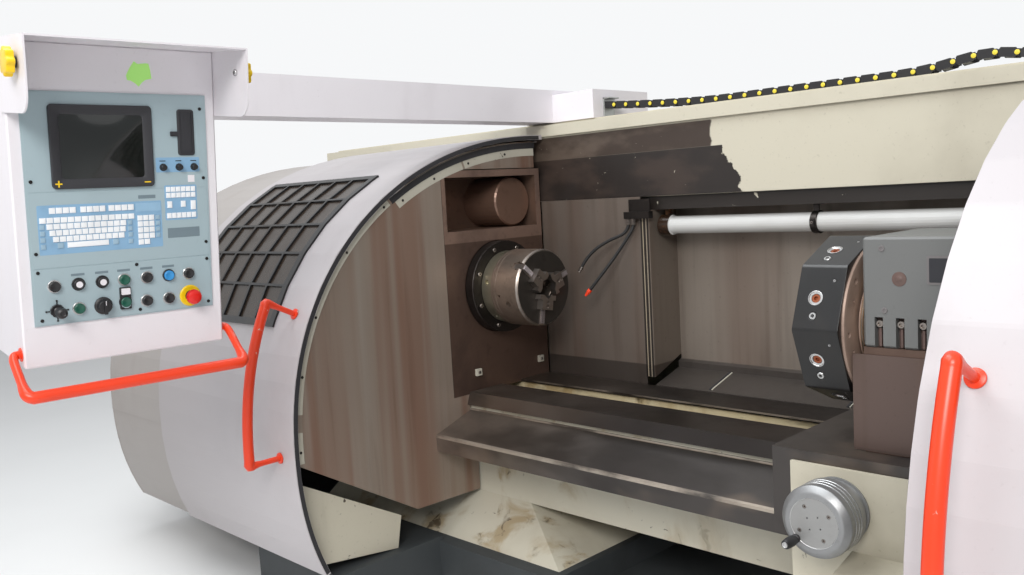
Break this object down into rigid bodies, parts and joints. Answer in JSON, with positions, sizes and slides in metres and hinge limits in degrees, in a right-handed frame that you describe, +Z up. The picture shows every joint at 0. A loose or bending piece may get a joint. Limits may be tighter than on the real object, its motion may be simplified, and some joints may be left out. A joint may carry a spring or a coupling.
{
  "type": "cnc turning lathe",
  "caption": "CNC turning lathe with barrel-shaped sliding doors, three-jaw chuck, drum turret and a control console on a roof boom.",
  "frame": {"origin": "middle of the bounding box, on the floor", "axes": "+X along the spindle from headstock to tail end, +Y to the back, +Z up"},
  "size_m": [5, 2.8908, 1.981],
  "materials": {
    "door_paint": "satin light grey paint",
    "cream_paint": "satin cream paint, stained and chipped",
    "base_paint": "dull dark paint",
    "stained_steel": "oil-stained bare steel",
    "cast": "machined casting with oil film",
    "dark_steel": "hardened dark steel",
    "bright_steel": "turned steel",
    "black_paint": "satin black",
    "grey_paint": "satin mid grey",
    "brass": "worn brass colour",
    "handle_red": "gloss red-orange",
    "rubber": "dull black",
    "clear_sheet": "clear, stained",
    "lamp_white": "frosted",
    "console_white": "satin white",
    "panel_blue": "satin blue-grey",
    "knob_yellow": "yellow",
    "stop_red": "red",
    "black_plastic": "black"
  },
  "bodies": {
    "machine": {"base_plinth": "base_paint", "bed_casting": "cream_paint", "front_way": "dark_steel", "rear_way": "dark_steel", "ledge_cover": "dark_steel", "headstock_casting": "cast", "recess_drum": "stained_steel", "rear_cover": "cream_paint", "roof_beam": "cream_paint", "rear_side_wall": "stained_steel", "rear_wall": "stained_steel", "corner_post": "black_paint", "lamp_tube": "lamp_white", "left_guard_panel": "stained_steel", "left_skirt_plate": "cream_paint", "left_cover": "door_paint", "right_guard_panel": "stained_steel", "right_cover": "door_paint", "hose_front": "rubber", "hose_rear": "rubber", "hose_bracket": "dark_steel", "coolant_nozzle": "handle_red", "main_motor": "grey_paint", "drive_belt": "rubber"},
    "spindle": {"spindle_shaft": "dark_steel", "chuck_adaptor": "bright_steel", "chuck_body": "bright_steel"},
    "jaw_1": {"chuck_jaw_1": "bright_steel"},
    "jaw_2": {"chuck_jaw_2": "bright_steel"},
    "jaw_3": {"chuck_jaw_3": "bright_steel"},
    "motor_shaft": {"motor_pulley": "dark_steel"},
    "left_door_body": {"left_door": "door_paint", "left_window_grid": "black_paint", "left_window_pane": "clear_sheet", "left_door_handle": "handle_red"},
    "right_door_body": {"right_door": "door_paint", "right_window_grid": "black_paint", "right_window_pane": "clear_sheet", "right_door_handle": "handle_red"},
    "carriage": {"carriage_saddle": "dark_steel", "apron": "cream_paint"},
    "handwheel_body": {"handwheel": "grey_paint"},
    "grip_body": {"handwheel_grip": "black_plastic"},
    "cross_slide_body": {"cross_slide": "cast", "slide_cover": "stained_steel", "turret_housing": "grey_paint", "index_ring": "brass"},
    "turret_body": {"turret_drum": "black_paint"},
    "boom_body": {"boom": "door_paint", "energy_chain": "black_plastic"},
    "hanger_body": {"console_hanger": "door_paint"},
    "console_body": {"console_case": "console_white", "console_panel": "panel_blue", "screen": "black_plastic", "console_handle": "handle_red"},
    "e_stop_body": {"e_stop": "stop_red"},
    "dial_body": {"override_dial": "black_plastic"},
    "joystick_body": {"joystick": "black_plastic"},
    "left_knob_body": {"left_knob": "knob_yellow"},
    "right_knob_body": {"right_knob": "knob_yellow"}
  },
  "joints": [
    {"name": "spindle_turn", "type": "hinge", "parent": "machine", "child": "spindle", "pos_m": [-0.6, 0.59541, 1.15], "axis": [1, 0, 0], "continuous": true},
    {"name": "jaw_1_stroke", "type": "slide", "parent": "spindle", "child": "jaw_1", "axis": [0, -0.1736, -0.9848], "range_m": [-0.003, 0.006]},
    {"name": "jaw_2_stroke", "type": "slide", "parent": "spindle", "child": "jaw_2", "axis": [0, 0.9397, 0.342], "range_m": [-0.003, 0.006]},
    {"name": "jaw_3_stroke", "type": "slide", "parent": "spindle", "child": "jaw_3", "axis": [0, -0.766, 0.6428], "range_m": [-0.003, 0.006]},
    {"name": "motor_turn", "type": "hinge", "parent": "machine", "child": "motor_shaft", "pos_m": [-0.6, 1.09541, 0.59], "axis": [1, 0, 0], "continuous": true},
    {"name": "left_door_slide", "type": "slide", "parent": "machine", "child": "left_door_body", "axis": [1, 0, 0], "range_m": [0, 1.05]},
    {"name": "right_door_slide", "type": "slide", "parent": "machine", "child": "right_door_body", "axis": [-1, 0, 0], "range_m": [0, 1.05]},
    {"name": "carriage_slide", "type": "slide", "parent": "machine", "child": "carriage", "axis": [1, 0, 0], "range_m": [-1.15, 0.9]},
    {"name": "cross_feed", "type": "slide", "parent": "carriage", "child": "cross_slide_body", "axis": [0, 1, 0], "range_m": [-0.2, 0.05]},
    {"name": "turret_index", "type": "hinge", "parent": "cross_slide_body", "child": "turret_body", "pos_m": [0.726, 0.39541, 1.124], "axis": [1, 0, 0], "continuous": true},
    {"name": "handwheel_turn", "type": "hinge", "parent": "carriage", "child": "handwheel_body", "pos_m": [0.864, 0.12281, 0.661], "axis": [0, 1, 0], "continuous": true},
    {"name": "grip_turn", "type": "hinge", "parent": "handwheel_body", "child": "grip_body", "pos_m": [0.81563, -0.01249, 0.61263], "axis": [0, 1, 0], "continuous": true},
    {"name": "boom_slide", "type": "slide", "parent": "machine", "child": "boom_body", "axis": [1, 0, 0], "range_m": [0, 1.15]},
    {"name": "console_swivel", "type": "hinge", "parent": "boom_body", "child": "hanger_body", "pos_m": [-0.86, -1.15959, 1.15], "axis": [0, 0, 1], "range_deg": [-175, 15]},
    {"name": "console_tilt", "type": "hinge", "parent": "hanger_body", "child": "console_body", "pos_m": [-0.72829, -1.13576, 1.59508], "axis": [0.0506, 0.9987, 0], "range_deg": [-12, 10]},
    {"name": "e_stop_press", "type": "slide", "parent": "console_body", "child": "e_stop_body", "axis": [-0.9919, 0.0502, 0.1167], "range_m": [0, 0.006]},
    {"name": "override_turn", "type": "hinge", "parent": "console_body", "child": "dial_body", "pos_m": [-0.42802, -1.21505, 1.31069], "axis": [-0.9919, 0.0502, 0.1167], "range_deg": [-120, 120]},
    {"name": "joystick_tilt", "type": "hinge", "parent": "console_body", "child": "joystick_body", "pos_m": [-0.42927, -1.32413, 1.31019], "axis": [0.0506, 0.9987, 0], "range_deg": [-15, 15], "stiffness_Nm_per_rad": 0.3},
    {"name": "left_knob_turn", "type": "hinge", "parent": "console_body", "child": "left_knob_body", "pos_m": [-0.24044, -1.4178, 1.87851], "axis": [0.0506, 0.9987, 0], "continuous": true},
    {"name": "right_knob_turn", "type": "hinge", "parent": "console_body", "child": "right_knob_body", "pos_m": [-0.21443, -0.90446, 1.87851], "axis": [0.0506, 0.9987, 0], "continuous": true}
  ],
  "couplings": [
    {"joint": "jaw_2_stroke", "follows": "jaw_1_stroke", "ratio": 1},
    {"joint": "jaw_3_stroke", "follows": "jaw_1_stroke", "ratio": 1},
    {"joint": "motor_turn", "follows": "spindle_turn", "ratio": 1.4783}
  ]
}
